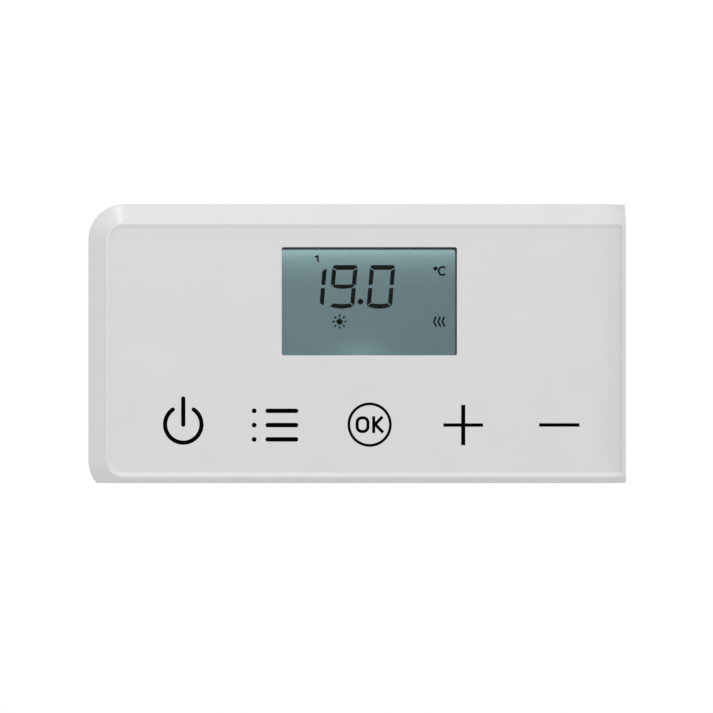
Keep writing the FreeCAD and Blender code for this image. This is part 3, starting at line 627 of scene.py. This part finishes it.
def ok_sign(cx, cz, radius=4.16, width=0.54, letter=0.6, height=3.36):
    half = (height - letter) / 2
    o_x, k_x = cx - 1.42, cx + 0.82
    o_ring = rounded(o_x - 1.09, o_x + 1.09, cz - half, cz + half, 0.98, 10)
    arm = k_x + 1.75
    return [
        stroke(arc((cx, cz), radius, 0, 360, 96)[:-1], width, INK_Y, closed=True),
        stroke(o_ring, letter, INK_Y, closed=True),
        facing(rectangle(k_x, cz, letter / 2, height / 2), INK_Y),
        stroke([(arm, cz + half + 0.2), (k_x + 0.3, cz + 0.08), (arm + 0.12, cz - half - 0.2)],
               letter, INK_Y, round_ends=False),
    ]


def plus_sign(cx, cz, half=3.98, width=0.67, stem=0.82):
    reach = (half + 0.06 - width / 2) / 2
    middle = width / 2 + reach
    bars = [rectangle(cx, cz, half, width / 2)]
    bars += [rectangle(cx, cz + side * middle, stem / 2, reach) for side in (-1, 1)]
    return [facing(bar, INK_Y) for bar in bars]


def minus_sign(cx, cz, half=4.04, width=0.68):
    return [facing(rectangle(cx, cz, half, width / 2), INK_Y)]


# Each sign's drawing, and how far it stands right of and above the middle of its key.
SIGNS = {"power": (power_sign, 0.07, 0.18), "menu": (list_sign, 0.0, 0.05), "ok": (ok_sign, 0.13, 0.14),
         "plus": (plus_sign, 0.0, 0.06), "minus": (minus_sign, 0.06, 0.08)}
for key, (draw, across, up) in SIGNS.items():
    x, z = key_centre(key)
    printed("legend_" + key, draw(x + across, z + up), key + "_key")

x = key_centre("power")[0]
tip_points, tip_faces = upright(x + SIGNS["power"][1], PAD_TOP, PAD_TOP + TIP_REACH, POWER_WIDTH,
                                round_top=True, rows=4)
tip = thin_solid("legend_power_tip", tip_points, tip_faces, INK_T, ink, None)
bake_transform(tip)
print("printed", len(SIGNS), "signs")

# %% [markdown]
# ## The picture in the display
# A segment display shows dark shapes that lie between its two glasses. They are drawn as very thin
# solids on the rear glass. A digit has seven segments that lean a little, with mitred ends and a bowed
# foot, and only the lit ones are made.

# %% Seven segments
CRYSTAL_Y = GLASS_LOW.y / MM - 0.02
CRYSTAL_T = 0.015
LEAN = math.tan(math.radians(5.0))
DIGIT_LOW, DIGIT_TALL = 7.07, 8.7

SEGMENTS = {
    "top": [(1.66, 7.74), (2.5, 8.22), (2.38, 8.5), (2.05, 8.72), (-2.05, 8.72), (-2.38, 8.5),
            (-2.5, 8.22), (-1.66, 7.74)],
    "upper_right": [(1.7, 7.56), (1.7, 4.88), (1.88, 4.72), (2.54, 4.72), (2.56, 8.05)],
    "lower_right": [(1.7, 4.1), (1.7, 1.16), (2.48, 0.56), (2.56, 0.8), (2.54, 4.1)],
    "foot": [(1.58, 1.04), (1.0, 0.93), (0.0, 0.86), (-1.0, 0.93), (-1.58, 1.04), (-2.42, 0.46),
             (-1.9, 0.23), (-1.0, 0.02), (0.0, -0.06), (1.0, 0.02), (1.9, 0.23), (2.36, 0.46)],
    "middle": [(2.3, 4.48), (1.65, 4.84), (0.8, 4.78), (-0.8, 4.78), (-1.65, 4.84), (-2.3, 4.48),
               (-1.65, 4.14), (-0.8, 3.98), (0.0, 3.94), (0.8, 3.98), (1.65, 4.14)],
}
for side in ("upper", "lower"):
    SEGMENTS[side + "_left"] = [(-u, v) for u, v in SEGMENTS[side + "_right"]]


def segment(name, cx):
    ring = [(cx + u + (v - DIGIT_TALL / 2) * LEAN, DIGIT_LOW + v) for u, v in SEGMENTS[name]]
    return filled([ring], CRYSTAL_Y)


LIT = {
    -8.93: ["upper_right", "lower_right"],
    -2.76: ["top", "upper_right", "upper_left", "middle", "lower_right", "foot"],
    4.82: ["top", "upper_right", "upper_left", "lower_right", "lower_left", "foot"],
}


def shown(name, shapes):
    points, faces = gather(shapes)
    return thin_solid(name, points, faces, CRYSTAL_T, crystal, "front_unit")


def diamond(cx, cz, reach, bulge=0.62, steps=8):
    """A square on its corner, with its sides bowed outwards a little."""
    ring = []
    for k in range(4 * steps):
        turn = math.tau * k / (4 * steps)
        c, s = math.cos(turn), math.sin(turn)
        size = reach / (abs(c) ** (1 / bulge) + abs(s) ** (1 / bulge)) ** bulge
        ring.append((cx + size * c, cz + size * s))
    return facing(ring, CRYSTAL_Y)


digits = [segment(name, cx) for cx, names in LIT.items() for name in names]
shown("display_digits", digits + [diamond(0.7, 8.43, 0.66, 0.78)])
print("digits use", len(digits), "segments")

# %% [markdown]
# Small signs stand round the digits: a programme number, a degree sign with its C, a sun and three
# rising waves for heat. They are strokes too, drawn finer than the digits.

# %% Small signs in the display
def small_one(cx, cz, half=0.68, width=0.34):
    path = [(cx - 0.66, cz + half - 0.42), (cx - 0.06, cz + half - 0.2), (cx, cz - half)]
    return [stroke(path, width, CRYSTAL_Y, round_ends=False)]


def degree_c(cx, cz):
    letter = stroke(arc((cx, cz), 0.82, 48, 312, 40), 0.38, CRYSTAL_Y, round_ends=False)
    return [diamond(cx - 1.45, cz + 0.5, 0.45), letter]


def sun(cx, cz):
    rays = []
    for k in range(8):
        turn = math.tau * k / 8
        way = Vector((math.cos(turn), math.sin(turn)))
        ends = [Vector((cx, cz)) + way * reach for reach in (0.95, 1.46)]
        rays.append(stroke([tuple(p) for p in ends], 0.32, CRYSTAL_Y, round_ends=False))
    return [diamond(cx, cz, 0.7, 0.8)] + rays


def heat_waves(cx, cz, pitch=0.86, height=2.1):
    waves = []
    for k in (-1, 0, 1):
        path = []
        for step in range(17):
            t = step / 16
            sway = 0.18 * math.sin(1.3 * math.tau * t + 0.75) - 0.12 * (t - 0.5)
            path.append((cx + k * pitch + sway, cz + height * (t - 0.5)))
        waves.append(stroke(path, 0.36, CRYSTAL_Y, round_ends=False))
    return waves


small_signs = small_one(-7.82, 17.12) + degree_c(17.24, 14.6) + sun(-3.5, 4.42) + heat_waves(16.5, 4.4)
shown("display_signs", small_signs)
print("small signs are in place")

# %% [markdown]
# ## Floor and light
# The thermostat hangs in a white studio. A pale round floor lies well below it. The sky is plain
# white where the camera sees it. As a light it is softer, and brighter above and in front, so that
# shapes keep their shading. A box in front lights the upper bevel, a small one overhead puts the
# streak on its corner, and one behind shows the wall plate when the thermostat is turned round.

# %% Floor
FLOOR_Z, FLOOR_R = -220.0, 520.0
ring = arc((0, 0), FLOOR_R, 0, 360, 96)[:-1]
mesh = bpy.data.meshes.new("floor")
mesh.from_pydata([Vector((x, y, FLOOR_Z)) * MM for x, y in ring], [], [tuple(range(len(ring)))])
floor = bpy.data.objects.new("floor", mesh)
ALL_OBJECTS.link(floor)
pale, tree, shader = surface("pale studio floor", "E4E4E4", roughness=0.7)
shade(tree, shader, "Base Color", linear("E2E2E2"), linear("E6E6E6"), 60.0)
mesh.materials.append(pale)
print("floor is", 2 * FLOOR_R, "mm across")

# %% Light
world = bpy.data.worlds.new("studio")
world.use_nodes = True
bpy.context.scene.world = world
tree = world.node_tree
tree.nodes.clear()
UPWARD, FORWARD = (0.05, 0.29), (0.0, 0.575)     # sky strength below and above, behind and in front
place = add(tree, "ShaderNodeTexCoord", {})
split = add(tree, "ShaderNodeSeparateXYZ", {}, [("Vector", place.outputs["Generated"])])
rise = add(tree, "ShaderNodeMapRange",
           {"From Min": -1.0, "From Max": 1.0, "To Min": UPWARD[0], "To Max": UPWARD[1]},
           [("Value", split.outputs["Z"])])
front = add(tree, "ShaderNodeMapRange",
            {"From Min": 1.0, "From Max": -1.0, "To Min": FORWARD[0], "To Max": FORWARD[1]},
            [("Value", split.outputs["Y"])])
strength = add(tree, "ShaderNodeMath", {"operation": "ADD"},
               [(0, rise.outputs["Result"]), (1, front.outputs["Result"])])
lighting = add(tree, "ShaderNodeBackground", {"Color": (1, 1, 1, 1)},
               [("Strength", strength.outputs["Value"])])
seen = add(tree, "ShaderNodeBackground", {"Color": (1, 1, 1, 1), "Strength": 1.0})
path = add(tree, "ShaderNodeLightPath", {})
mixed = add(tree, "ShaderNodeMixShader", {}, [("Fac", path.outputs["Is Camera Ray"]),
                                              (1, lighting.outputs["Background"]),
                                              (2, seen.outputs["Background"])])
add(tree, "ShaderNodeOutputWorld", {}, [("Surface", mixed.outputs["Shader"])])


def soft_box(name, place, width, height, watts):
    """An area light at place, in mm, turned to the thermostat's face."""
    data = bpy.data.lights.new(name, "AREA")
    data.shape, data.size, data.size_y, data.energy = "RECTANGLE", width * MM, height * MM, watts
    made = bpy.data.objects.new(name, data)
    ALL_OBJECTS.link(made)
    made.location = Vector(place) * MM
    made.rotation_euler = (Vector((0, FACE_Y, 0)) - made.location).to_track_quat("-Z", "Y").to_euler()


soft_box("front_box", (-60, -700, 420), 300, 200, 1.52)
soft_box("overhead_box", (-205, -118, 675), 60, 60, 0.41)
soft_box("back_box", (320, 640, 40), 300, 300, 2.0)
bpy.context.scene.view_settings.view_transform = "Standard"
